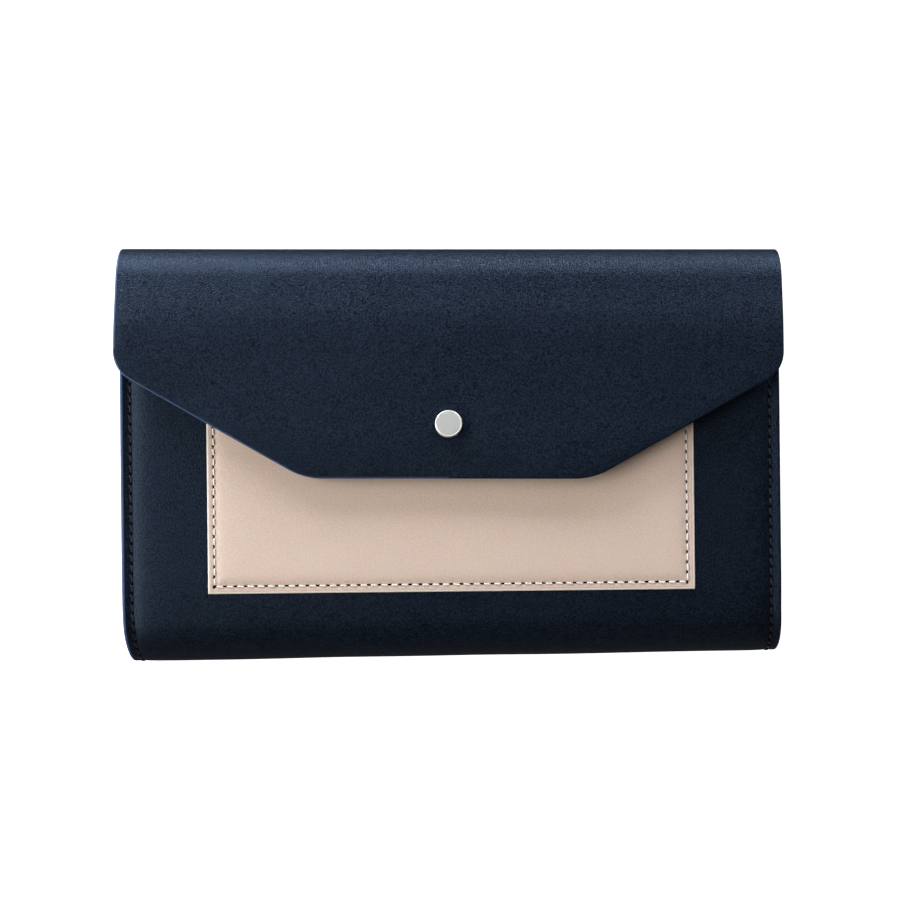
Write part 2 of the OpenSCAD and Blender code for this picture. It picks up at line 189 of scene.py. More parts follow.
class Outline:
    """The flap's half outline: side, rounded shoulder, slant, rounded tip corner and straight tip."""

    def __init__(self):
        (x1, y1, r1), (x2, y2, r2) = SHOULDER, TIP
        self.slant = Vector((x2 - x1, y2 - y1)).normalized()
        turn1 = math.acos(-self.slant.y)
        reach1 = r1 * math.tan(turn1 / 2)
        reach2 = r2 * math.tan((math.pi / 2 - turn1) / 2)
        self.centre1 = Vector((x1 - r1, y1 + reach1))
        self.centre2 = Vector((x2 - reach2, y2 + r2))
        self.low1 = y1 + reach1 * self.slant.y
        self.high2 = y2 - reach2 * self.slant.y

    def half_width(self, y):
        if y >= self.centre1.y:
            return SHOULDER[0]
        if y >= self.low1:
            return self.centre1.x + math.sqrt(SHOULDER[2] ** 2 - (self.centre1.y - y) ** 2)
        if y >= self.high2:
            return TIP[0] + (y - TIP[1]) * self.slant.x / self.slant.y
        return self.centre2.x + math.sqrt(max(TIP[2] ** 2 - (self.centre2.y - y) ** 2, 0))

    def inset(self, x, y):
        """Distance in from the cut edge."""
        x = abs(x)
        normal = Vector((-self.slant.y, self.slant.x))
        nearest = min(SHOULDER[0] - x, y - TIP[1],
                      -(Vector((x, y)) - Vector((TIP[0], TIP[1]))).dot(normal))
        for centre, radius, first, last in (
                (self.centre1, SHOULDER[2], Vector((1, 0)), normal),
                (self.centre2, TIP[2], normal, Vector((0, -1)))):
            off = Vector((x, y)) - centre
            if off.length > 1e-6 and off.dot(first + last) > 0:
                turned_in = first.x * off.y - first.y * off.x <= 0 and last.x * off.y - last.y * off.x >= 0
                if turned_in:
                    nearest = min(nearest, radius - off.length)
        return max(nearest, 0.0)


outline = Outline()


# ---- Shape helpers ----
def spaced(first, last, step):
    count = max(1, round(abs(last - first) / step))
    return [first + (last - first) * i / count for i in range(count + 1)]


NEAR = 12.0  # how far in from an edge rows and columns stay close together


def from_edge(reach, fine, middle, coarse):
    """Distances in from an edge: closest at its rounding, then fine, middle as far as NEAR, and coarse."""
    steps = [0.0, 0.03, 0.1, 0.2, 0.35] + spaced(0.55, 1.15, fine)
    steps += spaced(1.15, min(NEAR, reach), middle)[1:]
    if reach > NEAR:
        steps += spaced(NEAR, reach, coarse)[1:]
    return steps


def to_edge(end, reach, fine, middle, coarse):
    """Rows that end at an edge."""
    return [end - d for d in reversed(from_edge(reach, fine, middle, coarse))]


def across(half, middle=0.4, coarse=3.0):
    """Columns from one edge of a sheet to the other, as x."""
    right = [half - d for d in from_edge(half, 0.2, middle, coarse)]
    return [-x for x in right] + right[::-1][1:]


def rounded(inset, radius):
    """How far a cut edge's rounding drops the surface."""
    if inset >= radius:
        return 0.0
    return math.sqrt(max(radius ** 2 - (radius - inset) ** 2, 0)) - radius


def on_circle(radius, share):
    """A point on a circle, by its share of the turn."""
    return radius * math.cos(2 * math.pi * share), radius * math.sin(2 * math.pi * share)


def smooth(t):
    t = min(max(t, 0.0), 1.0)
    return t * t * (3 - 2 * t)


def bell(off, width):
    """A smooth hump: 1 in its middle, fading out over its width."""
    return math.exp(-(off / width) ** 2)


def waves(x, s, size, seed):
    return noise.noise(Vector((x / size, s / size, seed)))


def ring_faces(base, rings, around):
    """Faces of a closed body through rings of points, the first of them at index base."""
    faces = []
    for i in range(rings - 1):
        for k in range(around):
            a, b = base + i * around + k, base + i * around + (k + 1) % around
            faces.append([a, b, b + around, a + around])
    faces.append([base + k for k in range(around)][::-1])
    faces.append([base + (rings - 1) * around + k for k in range(around)])
    return faces


WEAR_REACH = 0.8  # how far in from a cut edge the leather is rubbed


def new_piece(name, verts, faces, materials, slots=None, wear=None, sharp=50):
    """A mesh piece from points in millimetres; wear is 1 on a cut edge and fades inwards."""
    mesh = bpy.data.meshes.new(name)
    mesh.from_pydata([v * MM for v in verts], [], faces)
    for material in materials:
        mesh.materials.append(material)
    if slots:
        mesh.polygons.foreach_set("material_index", slots)
    if wear:
        layer = mesh.attributes.new("wear", "FLOAT", "POINT")
        layer.data.foreach_set("value", wear)
    mesh.polygons.foreach_set("use_smooth", [True] * len(mesh.polygons))
    mesh.update()
    mesh.set_sharp_from_angle(angle=math.radians(sharp))
    piece = bpy.data.objects.new(name, mesh)
    bpy.context.scene.collection.objects.link(piece)
    return piece


def sheet_piece(name, rows, columns, point, top, bottom, materials, inset=None, paint_and_highlight=(0.0, 0.0)):
    """A closed sheet over a grid. point(s, x, lift) places a vertex, top and bottom give lifts, columns(s) is
    the row's x values, and the cut edges take the second material, which laps onto the top as far as
    paint_and_highlight says for the left and the right half. Where it laps onto one half only, that pale edge
    colour is a painted highlight along the edge that faces the light."""
    grid = [columns(s) for s in rows]
    n_rows, n_cols = len(rows), len(grid[0])
    verts, wear = [], []
    for lift in (top, bottom):
        for s, xs in zip(rows, grid):
            for x in xs:
                verts.append(point(s, x, lift(s, x)))
                wear.append(math.exp(-inset(s, x) / WEAR_REACH) if inset else 0.0)
    lower = n_rows * n_cols
    faces, slots = [], []
    for r in range(n_rows - 1):
        for c in range(n_cols - 1):
            a = r * n_cols + c
            quad = [a, a + 1, a + n_cols + 1, a + n_cols]
            faces.append(quad)
            faces.append([v + lower for v in reversed(quad)])
            middle = (rows[r] + rows[r + 1]) / 2, (grid[r][c] + grid[r + 1][c + 1]) / 2
            # The edge colour laps onto the top of each half as far as given; a lap on one half only is a
            # painted highlight along the lit edge.
            lap = paint_and_highlight[0] if middle[1] < 0 else paint_and_highlight[1]
            slots += [1 if lap and inset(*middle) < lap else 0, 0]
    rim = list(range(n_cols))
    rim += [r * n_cols + n_cols - 1 for r in range(1, n_rows)]
    rim += [(n_rows - 1) * n_cols + c for c in range(n_cols - 2, -1, -1)]
    rim += [r * n_cols for r in range(n_rows - 2, 0, -1)]
    for a, b in zip(rim, rim[1:] + rim[:1]):
        faces.append([b, a, a + lower, b + lower])
        slots.append(min(1, len(materials) - 1))
    piece = new_piece(name, verts, faces, materials, slots, wear)
    turn_outwards(piece)
    return piece


def turn_outwards(piece):
    """Flips a closed mesh whose faces all look inwards."""
    mesh = piece.data
    volume = 0.0
    for polygon in mesh.polygons:
        corners = [mesh.vertices[i].co for i in polygon.vertices]
        for i in range(1, len(corners) - 1):
            volume += corners[0].dot(corners[i].cross(corners[i + 1]))
    if volume < 0:
        mesh.flip_normals()


def lathe(name, profile, place, material, count=96):
    """A turned piece from (radius, height) points on its own axis, with a flat cap at each end."""
    verts = []
    for radius, height in profile:
        verts += [place @ Vector((*on_circle(radius, k / count), height)) for k in range(count)]
    piece = new_piece(name, verts, ring_faces(0, len(profile), count), [material], sharp=35)
    turn_outwards(piece)
    return piece


# ---- Materials ----
class Graph:
    """Builds one material's nodes."""

    def __init__(self, name):
        self.material = bpy.data.materials.new(name)
        self.material.use_nodes = True
        self.tree = self.material.node_tree
        self.shader = self.tree.nodes["Principled BSDF"]
        self.where = self.tree.nodes.new("ShaderNodeTexCoord").outputs["Object"]

    def node(self, kind, **values):
        node = self.tree.nodes.new(kind)
        for key, value in values.items():
            if key in node.bl_rna.properties:
                setattr(node, key, value)
            else:
                self.set(node, key, value)
        return node

    def set(self, node, key, value):
        """Links or sets an input, named by its number, as i0, or by its name with _ for a space."""
        numbered = key[0] == "i" and key[1:].isdigit()
        socket = node.inputs[int(key[1:])] if numbered else node.inputs[key.replace("_", " ")]
        if isinstance(value, bpy.types.NodeSocket):
            self.tree.links.new(value, socket)
        elif socket.type == "RGBA" and len(value) == 3:
            socket.default_value = (*value, 1)
        else:
            socket.default_value = value

    def mapped(self, scale=(1, 1, 1), turn=(0, 0, 0)):
        return self.node("ShaderNodeMapping", Vector=self.where, Scale=scale, Rotation=turn).outputs[0]

    def noise(self, size, where=None, detail=3.0, roughness=0.5):
        """Noise with features of a size in millimetres."""
        return self.node("ShaderNodeTexNoise", Vector=where or self.where, Scale=1 / (size * MM),
                         Detail=detail, Roughness=roughness).outputs["Fac"]

    def cells(self, size, where=None):
        """Distance to the edges of cells of a size in millimetres."""
        return self.node("ShaderNodeTexVoronoi", feature="DISTANCE_TO_EDGE", Vector=where or self.where,
                         Scale=1 / (size * MM)).outputs["Distance"]

    def ramp(self, value, start, end, out_start=0.0, out_end=1.0):
        return self.node("ShaderNodeMapRange", i0=value, i1=start, i2=end, i3=out_start,
                         i4=out_end).outputs[0]

    def maths(self, operation, a, b=0.0):
        return self.node("ShaderNodeMath", operation=operation, i0=a, i1=b).outputs[0]

    def mix(self, factor, a, b):
        return self.node("ShaderNodeMix", data_type="RGBA", i0=factor, i6=a, i7=b).outputs[2]

    def weighted(self, a, b, share):
        """A value made of a share of b and the rest of a."""
        return self.maths("ADD", self.maths("MULTIPLY", a, 1 - share), self.maths("MULTIPLY", b, share))

    def bump(self, height, depth, strength=1.0, below=None):
        """Bump of a depth in millimetres."""
        node = self.node("ShaderNodeBump", Height=height, Strength=strength, Distance=depth * MM)
        if below is not None:
            self.set(node, "Normal", below)
        return node.outputs[0]

    def finish(self, color, roughness, normal=None, **constants):
        for key, value in (("Base Color", color), ("Roughness", roughness), ("Normal", normal)):
            if value is not None:
                self.set(self.shader, key, value)
        for key, value in constants.items():
            self.set(self.shader, key, value)
        return self.material


def leather(name, dark, light, paler_tone, rim, gloss, grain=0.6, depth=0.1, speck=0.3, **constants):
    """Full-grain leather: fine pebbles with creases between, pores, long faint wrinkles and mottling."""
    g = Graph(name)
    drift = g.node("ShaderNodeTexNoise", Vector=g.where, Scale=1 / (1.4 * MM)).outputs["Color"]
    drift = g.node("ShaderNodeVectorMath", operation="SCALE", i0=drift, Scale=0.35 * MM).outputs[0]
    bent = g.node("ShaderNodeVectorMath", operation="ADD", i0=g.where, i1=drift).outputs[0]
    pebbles = g.ramp(g.cells(grain, bent), 0.0, 0.22)
    pores = g.noise(0.16, detail=2)
    slanted = g.mapped(scale=(1, 0.3, 1), turn=(0, 0, math.radians(-48)))
    folds = g.noise(3.2, slanted, 4, 0.62)
    wrinkles = g.ramp(g.maths("ABSOLUTE", g.maths("SUBTRACT", folds, 0.5)), 0.0, 0.09)
    broad = g.noise(26, detail=3)
    patches = g.noise(5.5, detail=5, roughness=0.6)
    color = g.mix(g.ramp(g.weighted(broad, patches, 0.45), 0.34, 0.66), dark, light)
    # Pale flecks of the paler tone; on the navy leather they are painted glints standing in for highlights on
    # the grain's crests.
    speckle = g.ramp(g.noise(0.55, bent, 3, 0.6), 0.4, 0.62)
    color = g.mix(g.maths("MULTIPLY", speckle, speck), color, paler_tone)
    edge = g.node("ShaderNodeAttribute", attribute_name="wear").outputs["Fac"]
    color = g.mix(g.maths("MULTIPLY", edge, 0.6), color, rim)
    rough = g.ramp(g.weighted(patches, speckle, 0.8), 0.2, 0.8, gloss - 0.05, gloss + 0.08)
    normal = g.bump(wrinkles, depth / 5, 0.25)
    normal = g.bump(pebbles, depth, 0.6, normal)
    normal = g.bump(pores, depth / 2, 0.6, normal)
    return g.finish(color, rough, normal, **constants)


def edge_paint(name, tone, paler_tone, gloss):
    """Burnished edge: layers pressed together show as faint lines along it."""
    g = Graph(name)
    layers = g.noise(0.5, g.mapped(scale=(0.05, 0.05, 1)), 2)
    color = g.mix(g.ramp(g.noise(1.8, detail=4), 0.35, 0.7), tone, paler_tone)
    normal = g.bump(layers, 0.05, 0.4)
    return g.finish(color, g.ramp(layers, 0.3, 0.7, gloss, gloss + 0.15), normal)


def weave(name, dark, light, pitch, turn=0.0):
    """Woven cloth: two crossing sets of yarn."""
    g = Graph(name)
    where = g.mapped(turn=(0, 0, turn))
    yarns = [g.node("ShaderNodeTexWave", wave_type="BANDS", bands_direction=direction, Vector=where,
                    Scale=0.314 / (pitch * MM), Distortion=0.6, Detail_Scale=3.0).outputs["Fac"]
             for direction in ("X", "Y")]
    height = g.maths("MAXIMUM", *yarns)
    tone = g.weighted(height, g.noise(4.0), 0.4)
    color = g.mix(g.ramp(tone, 0.3, 0.8), dark, light)
    normal = g.bump(height, 0.08, 0.6)
    return g.finish(color, 0.85, normal, Sheen_Weight=0.25, Sheen_Roughness=0.5)


def thread(name, dark, light):
    """Waxed thread: fine fibres and a soft shine."""
    g = Graph(name)
    fibres = g.noise(0.12, detail=3, roughness=0.7)
    color = g.mix(g.ramp(fibres, 0.3, 0.7), dark, light)
    rough = g.ramp(g.noise(0.5), 0.3, 0.7, 0.42, 0.6)
    return g.finish(color, rough, g.bump(fibres, 0.03, 0.5), Sheen_Weight=0.15)


def metal(name, tint, shade, gloss, brush=(1, 1, 1), metallic=1.0):
    """Plated metal with fine brushing, faint spots and handling marks."""
    g = Graph(name)
    lines = g.noise(0.25, g.mapped(scale=brush), 3, 0.6)
    spots = g.noise(1.6, detail=4)
    color = g.mix(g.ramp(spots, 0.35, 0.7), shade, tint)
    rough = g.ramp(g.weighted(lines, spots, 0.4), 0.3, 0.7, gloss - 0.04, gloss + 0.08)
    # Below a metallic share of 1 the pale base colour also shows as diffuse light: painted reflection,
    # brightening metal that would otherwise mirror a dark studio.
    return g.finish(color, rough, g.bump(lines, 0.004, 0.3), Metallic=metallic)


def plain(name, dark, light, size, rough, specular=0.4):
    """Pressed board, or the painted shade inside a needle hole: fine fibres only."""
    g = Graph(name)
    fibres = g.noise(size, detail=4)
    return g.finish(g.mix(g.ramp(fibres, 0.3, 0.7), dark, light), rough, g.bump(fibres, 0.05, 0.5),
                    Specular_IOR_Level=specular)


# Navy leather: its pale flecks, the third colour mixed in at speck 0.7, are painted glints on the grain.
navy = leather("navy_leather", (0.0006, 0.0012, 0.0032), (0.0014, 0.0024, 0.0056), (0.015, 0.024, 0.042),
               (0.008, 0.015, 0.030), 0.34, depth=0.09, speck=0.7, Specular_IOR_Level=0.32,
               Specular_Tint=(0.38, 0.59, 0.94, 1))
# The navy edge colour is partly the edge paint's own blue and partly a painted highlight: its bright blue
# stands in for light caught along the cut edges.
navy_edge_paint_and_highlight = edge_paint("navy_edge_paint_and_highlight", (0.022, 0.055, 0.140), (0.034, 0.076, 0.185), 0.38)
blush = leather("blush_leather", (0.755, 0.582, 0.490), (0.770, 0.597, 0.505), (0.92, 0.80, 0.70),
                (0.62, 0.45, 0.38), 0.50, grain=0.5, depth=0.06, speck=0.36, Specular_IOR_Level=0.35,
                Subsurface_Weight=0.15, Subsurface_Radius=(1.0, 0.4, 0.2), Subsurface_Scale=2 * MM)
blush_edge = edge_paint("blush_edge", (0.86, 0.78, 0.68), (0.95, 0.88, 0.80), 0.6)
navy_cloth = weave("navy_lining", (0.012, 0.016, 0.028), (0.030, 0.038, 0.062), 0.45, math.radians(45))
board = plain("backing_board", (0.26, 0.24, 0.21), (0.42, 0.39, 0.35), 0.4, 0.9)
navy_thread = thread("navy_thread", (0.003, 0.006, 0.015), (0.008, 0.013, 0.030))
blush_thread = thread("blush_thread", (0.78, 0.70, 0.66), (0.95, 0.90, 0.87))
# Near-black needle holes: painted shade, since a real needle hole is dark only because light does not reach
# into it.
painted_hole_shade = plain("needle_hole_painted_shade", (0.002, 0.002, 0.003), (0.006, 0.005, 0.005), 0.2, 0.9, 0.05)
# The snap's satin face and the zip are only partly metallic, so part of their brightness is painted
# reflection in their colour.
nickel = metal("satin_nickel", (0.60, 0.60, 0.585), (0.58, 0.58, 0.565), 0.48, (1, 0.12, 1), 0.6)
# Nickel for the cap's rim and the hidden snap parts: its near-white colour at metallic 0.4 is partly a
# painted glint standing in for the polished rim's reflections.
bright_nickel_painted_glint = metal("bright_nickel_painted_glint", (0.93, 0.92, 0.88), (0.90, 0.885, 0.83), 0.34, metallic=0.4)
zip_nickel = metal("zip_nickel", (0.80, 0.79, 0.76), (0.70, 0.69, 0.66), 0.3, (0.15, 1, 1), 0.7)
tape_cloth = weave("zip_tape", (0.010, 0.012, 0.022), (0.026, 0.030, 0.050), 0.32)


# ---- Leather wrap ----
EDGE_R = 0.5
FRONT_EDGE_R = 0.9
FLAP_EDGE_R = 0.55
SEAM_DEPTH = 0.6
SEAM_FLOOR = 0.42  # half width of the valley's floor
MARGIN_RISE = 0.27
SWELL = 1.5  # how far the padded panel rises again inside the seam
SWELL_REACH = 2.6
FOLD_RELIEF = 0.12  # share of the seam's relief that shows on the bottom fold
FOLD_FADE = 18.0  # length over which the rest of it comes in
SET_BACK = 0.35  # how far the board and the lining end short of the leather
FRONT_WAVE = (34, 1.5)  # size and seed of a faint unevenness


def seam_relief(inset):
    """A sewn side: the stitches sink into a valley, the margin turns up, the padded panel swells inside."""
    off = inset - SEAM_INSET
    if abs(off) < SEAM_FLOOR:
        return -SEAM_DEPTH
    if off < 0:
        return -SEAM_DEPTH + (-off - SEAM_FLOOR) * MARGIN_RISE
    return -SEAM_DEPTH + SWELL * (1 - math.exp(-(off - SEAM_FLOOR) / SWELL_REACH))


def back_relief(inset):
    return min(seam_relief(inset), 0.0) - 0.02 + rounded(inset, EDGE_R)


def back_lift(s, x):
    return back_relief(WALLET_HALF - abs(x))


def front_lift(s, x):
    inset = FRONT_HALF - abs(x)
    lift = seam_relief(inset) * (FOLD_RELIEF + (1 - FOLD_RELIEF) * smooth((s - SPLIT_S) / FOLD_FADE))
    lift += rounded(inset, FRONT_EDGE_R) + rounded(front_run.length - s, EDGE_R)
    lift += 0.16 * waves(x, s, *FRONT_WAVE) * smooth((inset - 4) / 10)
    fade = smooth((s - FRONT_LEAD) / 6)
    return lift * fade + (1 - fade) * back_relief(inset)


SNAP_Y = 8.0
SNAP_TILT = 11.0
DIMPLE = 0.45  # how far the snap pulls the flap in
DIMPLE_REACH = 7.5
FREE_S = 15.0  # where the flap takes its own outline, past the top fold
HEM = 0.12  # how far the flap's rim is pressed down
HEM_REACH = 1.5
FLAP_WAVES = ((0.30, 42, 7.3), (0.10, 15, 3.1))  # height, size and seed
# One shoulder curls up, and the tip's other corner a little: height, then middle and reach in x and in y.
CURLS = ((1.3, -WALLET_HALF, 26, 28, 20), (0.7, 38, 24, -9, 13))


def flap_inset(s, x):
    return outline.inset(x, flap_run.at(s)[0]) if s > FREE_S else WALLET_HALF - abs(x)


def flap_lift(s, x):
    y = flap_run.at(s)[0]
    inset = flap_inset(s, x)
    free = smooth((s - FREE_S) / 10)
    lift = rounded(inset, FLAP_EDGE_R)
    lift -= DIMPLE * bell(math.hypot(x, (y - SNAP_Y) * 1.1), DIMPLE_REACH) * free
    for height, size, seed in FLAP_WAVES:
        lift += height * waves(x, s, size, seed) * smooth((s - 8) / 14)
    for height, middle_x, reach_x, middle_y, reach_y in CURLS:
        lift += height * bell(x - middle_x, reach_x) * bell(y - middle_y, reach_y)
    return lift - HEM * bell(inset, HEM_REACH) * free


def flap_columns(s):
    half = outline.half_width(flap_run.at(s)[0]) if s > FREE_S else WALLET_HALF
    return [x * half / WALLET_HALF for x in across(WALLET_HALF, coarse=2.5)]


FLAP_END_S = flap_s(FLAP_TIP_Y)
FLAP_EVEN_S = 60.0  # the rows are even as far as this
flap_rows = spaced(0, FLAP_EVEN_S, 1.0)[:-1] + to_edge(FLAP_END_S, FLAP_END_S - FLAP_EVEN_S, 0.15, 0.45, 1.0)


def layer(name, run, rows, half, depth, thick, material):
    """A plain layer under the leather."""
    return sheet_piece(name, rows, lambda s: across(half - SET_BACK, middle=2.0), run.place,
                       lambda s, x: -depth, lambda s, x: -depth - thick, [material])


def line_panel(word, piece, run, rows, half):
    """Adds the board and the lining under a panel's leather, laid along the same run, and hides the three CAD
    parts.
    """
    backing = layer(word + "_backing_sheet", run, rows, half, LEATHER, BACKING, board)
    lining = layer(word + "_lining_cloth", run, rows, half, LEATHER + BACKING, LINING, navy_cloth)
    for part, slot_name, node in ((piece, "navy_leather", word + "_panel"),
                                  (backing, "backing_board", word + "_backing"),
                                  (lining, "navy_lining", word + "_lining")):
        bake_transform(part)
        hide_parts(node)


def back_wrap():
    rows = spaced(0, back_run.length, 1.0)
    piece = sheet_piece("back_leather", rows, lambda s: across(WALLET_HALF), back_run.place, back_lift,
                        lambda s, x: -LEATHER, [navy, navy_edge_paint_and_highlight],
                        lambda s, x: WALLET_HALF - abs(x), (0.2, 0.2))
    line_panel("back", piece, back_run, rows, WALLET_HALF)


FLAP_LINING_TRIM = 0.4


def front_wrap():
    end = front_run.length
    rows = spaced(0, FRONT_LEAD, 1.0)[:-1] + spaced(FRONT_LEAD, SPLIT_S, 0.7)[:-1]
    rows += to_edge(end, end - SPLIT_S, 0.2, 1.0, 1.0)
    # The bright edge colour laps 0.85 mm onto the left side only: a painted highlight along the edge lit from
    # the left, while the right edge stays dark.
    piece = sheet_piece("front_leather", rows, lambda s: across(FRONT_HALF), front_run.place, front_lift,
                        lambda s, x: -LEATHER, [navy, navy_edge_paint_and_highlight],
                        lambda s, x: min(FRONT_HALF - abs(x), end - s), (0.85, 0.0))
    inner = spaced(0, SPLIT_S, 0.9)[:-1] + spaced(SPLIT_S, end - 0.3, 1.5)
    line_panel("front", piece, front_run, inner, FRONT_HALF)


def flap_wrap():
    # The edge colour laps onto the flap's left half only: a painted highlight along its edge lit from the
    # left.
    piece = sheet_piece("flap_leather", flap_rows, flap_columns, flap_run.place, flap_lift,
                        lambda s, x: -LEATHER, [navy, navy_edge_paint_and_highlight], flap_inset, (0.45, 0.0))
    rows = [s * (FLAP_END_S - FLAP_LINING_TRIM) / FLAP_END_S for s in flap_rows]
    narrower = (WALLET_HALF - FLAP_LINING_TRIM) / WALLET_HALF
    lining = sheet_piece("flap_lining_cloth", rows, lambda s: [x * narrower for x in flap_columns(s)],
                         flap_run.place, lambda s, x: -LEATHER,
                         lambda s, x: -WALL - rounded(flap_inset(s, x), 0.3), [navy_cloth, navy_edge_paint_and_highlight])
    for part in (piece, lining):
        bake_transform(part)
    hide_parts("flap_panel", "spine_panel")
    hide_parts("flap_lining", "spine_lining")


# ---- Stitches ----
STITCH_L = 2.2
STITCH_ARCH = 0.2
STITCH_SINK = 0.12  # how deep its ends go into the leather
PLY_TURN = 4.2  # how far the two plies twist over half a stitch, in radians


# How a seam is sewn: slant turns each stitch across the seam and bow curves its ends aside; then the thread's
# radius, the needle hole's half sizes and how far aside the hole lies.
Stitching = namedtuple("Stitching", "slant bow thread_r hole hole_off")
PATCH_COLUMN = Stitching(-0.10, 0.0, 0.23, (0.58, 0.46), -0.38)
PATCH_ROW = Stitching(0.14, 0.0, 0.22, (0.80, 0.34), -0.22)
INNER_SEAM = Stitching(0.05, 0.0, 0.24, (0.40, 0.30), 0.0)


def stitch_mesh(verts, faces, centre, along, out, sewn):
    """Adds one stitch of twisted two-ply thread that arches out of its needle holes."""
    side = along.cross(out)
    rings, around = 13, 10
    faces += ring_faces(len(verts), rings, around)
    for i in range(rings):
        t = -1 + 2 * i / (rings - 1)
        radius = sewn.thread_r * (1 - 0.3 * t ** 6)
        for k in range(around):
            angle = 2 * math.pi * k / around
            r = radius * (1 + 0.16 * math.cos(2 * (angle - PLY_TURN * t)))
            lift = STITCH_ARCH * (1 - t ** 4) - STITCH_SINK + r * math.sin(angle)
            verts.append(centre + along * (t * STITCH_L / 2) + out * lift
                         + side * (r * math.cos(angle) + sewn.slant * t + sewn.bow * t ** 2))


HOLE_RINGS = ((1.0, 0.0), (0.8, 0.05), (0.8, -0.2), (1.0, -0.25))  # share of the hole's size, and height


def hole_mesh(verts, faces, centre, along, out, sewn):
    """Adds one needle hole: a shallow dish whose near-black colour is painted shade standing in for the
    hole's depth.
    """
    side = along.cross(out)
    around = 12
    faces += ring_faces(len(verts), len(HOLE_RINGS), around)
    for share, height in HOLE_RINGS:
        for k in range(around):
            u, v = on_circle(share, k / around)
            verts.append(centre + along * (sewn.hole[0] * u) + side * (sewn.hole[1] * v + sewn.hole_off)
                         + out * height)


def seam(name, places, body, material, node):
    """A seam's stitches and needle holes; each place is (centre, along, out, stitching)."""
    verts, faces, hole_verts, hole_faces = [], [], [], []
    for centre, along, out, sewn in places:
        stitch_mesh(verts, faces, centre, along, out, sewn)
        hole_mesh(hole_verts, hole_faces, centre - along * STITCH_PITCH / 2, along, out, sewn)
    stitches = new_piece(name + "_thread", verts, faces, [material], sharp=80)
    holes = new_piece(name + "_holes", hole_verts, hole_faces, [painted_hole_shade], sharp=80)
    turn_outwards(stitches)
    turn_outwards(holes)
    for piece in (stitches, holes):
        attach(piece, body)
    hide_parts(node)


def on_run(run, s, x, lift, sewn, crosswise=False):
    """A stitch's place on a run, laid along it or across it."""
    centre = run.place(s, x, lift)
    ahead = run.place(s, x + 1, lift) if crosswise else run.place(s + 1, x, lift)
    return centre, (ahead - centre).normalized(), run.axes(s)[1], sewn


SIDE_HOLE = (0.66, 0.50)
FRONT_SEAM_FROM = 3.0
FRONT_STITCHES = 38
BACK_SEAM_FROM = -50.0
BACK_STITCHES = 33


def side_seams():
    x = FRONT_HALF - SEAM_INSET
    rows = [SPLIT_S + FRONT_SEAM_FROM + k * STITCH_PITCH for k in range(FRONT_STITCHES)]
    places = []
    for side in (-1, 1):
        sewn = Stitching(-0.3, 0.25 * side, 0.17, SIDE_HOLE, 0)
        places += [on_run(front_run, s, side * x, front_lift(s, x) + 0.02, sewn) for s in rows]
    seam("front_seam", places, "front", navy_thread, "front_seam_stitches")
    x = WALLET_HALF - SEAM_INSET
    rows = [BACK_SEAM_FROM + k * STITCH_PITCH for k in range(BACK_STITCHES)]
    places = []
    for side in (-1, 1):
        sewn = Stitching(-0.3, -0.25 * side, 0.17, SIDE_HOLE, 0)
        places += [(Vector((side * x, y, -back_lift(0, x) - 0.02)), Vector((0, 1, 0)), Vector((0, 0, -1)),
                    sewn) for y in rows]
    seam("back_seam", places, "back", navy_thread, "back_seam_stitches")


# ---- Patch pocket ----
PATCH_FROM = SPLIT_S + 28.2
PATCH_TO = SPLIT_S + 94.0
PATCH_SEAM_S = PATCH_FROM + PATCH_INSET
PATCH_FLOOR = 0.4
PATCH_SINK = 0.32  # how deep the patch's seam lies
PATCH_MIDDLE = 40.0  # the rows change over here


def patch_inset(s, x):
    return min(PATCH_HALF - abs(x), s - PATCH_FROM)


def patch_lift(s, x):
    inset = patch_inset(s, x)
    off = abs(inset - PATCH_INSET) - PATCH_FLOOR
    lift = PATCH + rounded(inset, 0.28) + rounded(PATCH_TO - s, 0.3) - PATCH_SINK
    if off < 0:
        return lift
    if inset < PATCH_INSET:
        return lift + 0.12 * smooth(off / 0.5)
    return lift + 0.42 * (1 - math.exp(-off / 1.6)) + 0.05 * waves(x, s, 40, 4.4)


def patch_pocket():
    rows = [PATCH_FROM + d for d in from_edge(PATCH_MIDDLE, 0.2, 0.4, 1.5)]
    rows += to_edge(PATCH_TO, PATCH_TO - PATCH_FROM - PATCH_MIDDLE, 0.2, 0.8, 1.5)[1:]
    piece = sheet_piece("patch_leather", rows, lambda s: across(PATCH_HALF, coarse=2.5), front_run.place,
                        patch_lift, lambda s, x: 0.02 + 0.42 * smooth(patch_inset(s, x) - 3.2),
                        [blush, blush_edge], patch_inset, (0.5, 0.5))
    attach(piece, "front")
    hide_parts("patch_pocket")
    x = PATCH_HALF - PATCH_INSET
    lift = PATCH - 0.30
    count = int((PATCH_TO - PATCH_SEAM_S - 2) / STITCH_PITCH)
    places = [on_run(front_run, PATCH_SEAM_S + (k + 0.5) * STITCH_PITCH, side * x, lift, PATCH_COLUMN)
              for side in (-1, 1) for k in range(count)]
    count = 2 * int(x / STITCH_PITCH)
    places += [on_run(front_run, PATCH_SEAM_S, -x + (k + 0.5) * 2 * x / count, lift, PATCH_ROW, True)
               for k in range(count)]
    seam("patch", places, "front", blush_thread, "patch_stitches")


# ---- Snap ----
CAP_R = 4.0
CAP_LOW = 0.6
CAP_TOP = 2.4
CAP_FACE = 0.42  # width of the rim around the satin face; the rim's brightness is a painted glint
CAP_ROUND = 0.22
STEM_R = 1.2
STEM_END = -2.4


def dress(node, material):
    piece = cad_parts[node]
    piece.data.materials.clear()
    piece.data.materials.append(material)


